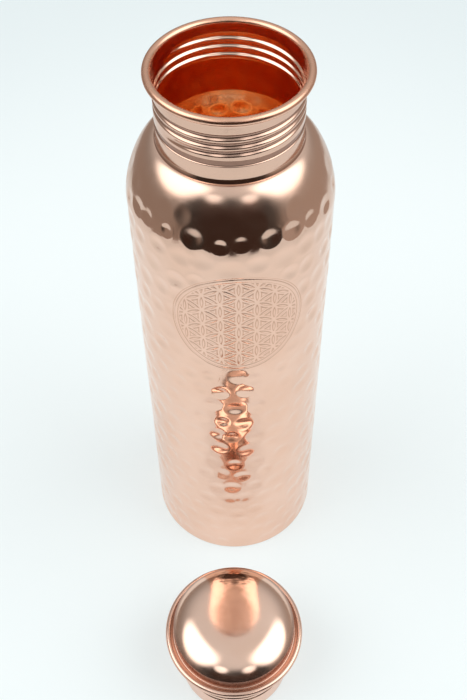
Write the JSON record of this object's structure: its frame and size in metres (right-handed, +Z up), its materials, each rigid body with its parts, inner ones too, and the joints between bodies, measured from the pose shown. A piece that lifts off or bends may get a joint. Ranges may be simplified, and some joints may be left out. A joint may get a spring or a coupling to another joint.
{
  "type": "water bottle",
  "caption": "Tall round hammered copper water bottle with a threaded neck, and its domed screw lid standing beside it.",
  "frame": {"origin": "centre of the bottle's flat underside, on the table that the bottle and its lid stand on", "axes": "+Z up along the bottle's axis; the lid stands in front of the bottle, towards -Y"},
  "size_m": [0.075, 0.1608, 0.2527],
  "materials": {
    "wall_copper": "hammered, polished copper",
    "base_copper": "satin copper",
    "collar_copper": "spun, polished copper",
    "plug_copper": "satin copper",
    "gasket_silicone": "smooth silicone",
    "rim_copper": "polished copper",
    "dome_copper": "mirror-polished copper"
  },
  "bodies": {
    "bottle": {"body_shell": "wall_copper", "base_pan": "base_copper", "neck_collar": "collar_copper"},
    "seal": {"lid_gasket": "gasket_silicone"},
    "lid": {"lid_plug": "plug_copper", "lid_rim": "rim_copper", "lid_dome": "dome_copper"}
  },
  "joints": [
    {"name": "lid_lift", "type": "slide", "parent": "bottle", "child": "seal", "axis": [0, 0, 1], "range_m": [0, 0.3]},
    {"name": "lid_turn", "type": "hinge", "parent": "seal", "child": "lid", "pos_m": [-0.0012, -0.0938, 0], "axis": [0, 0, 1], "continuous": true}
  ]
}
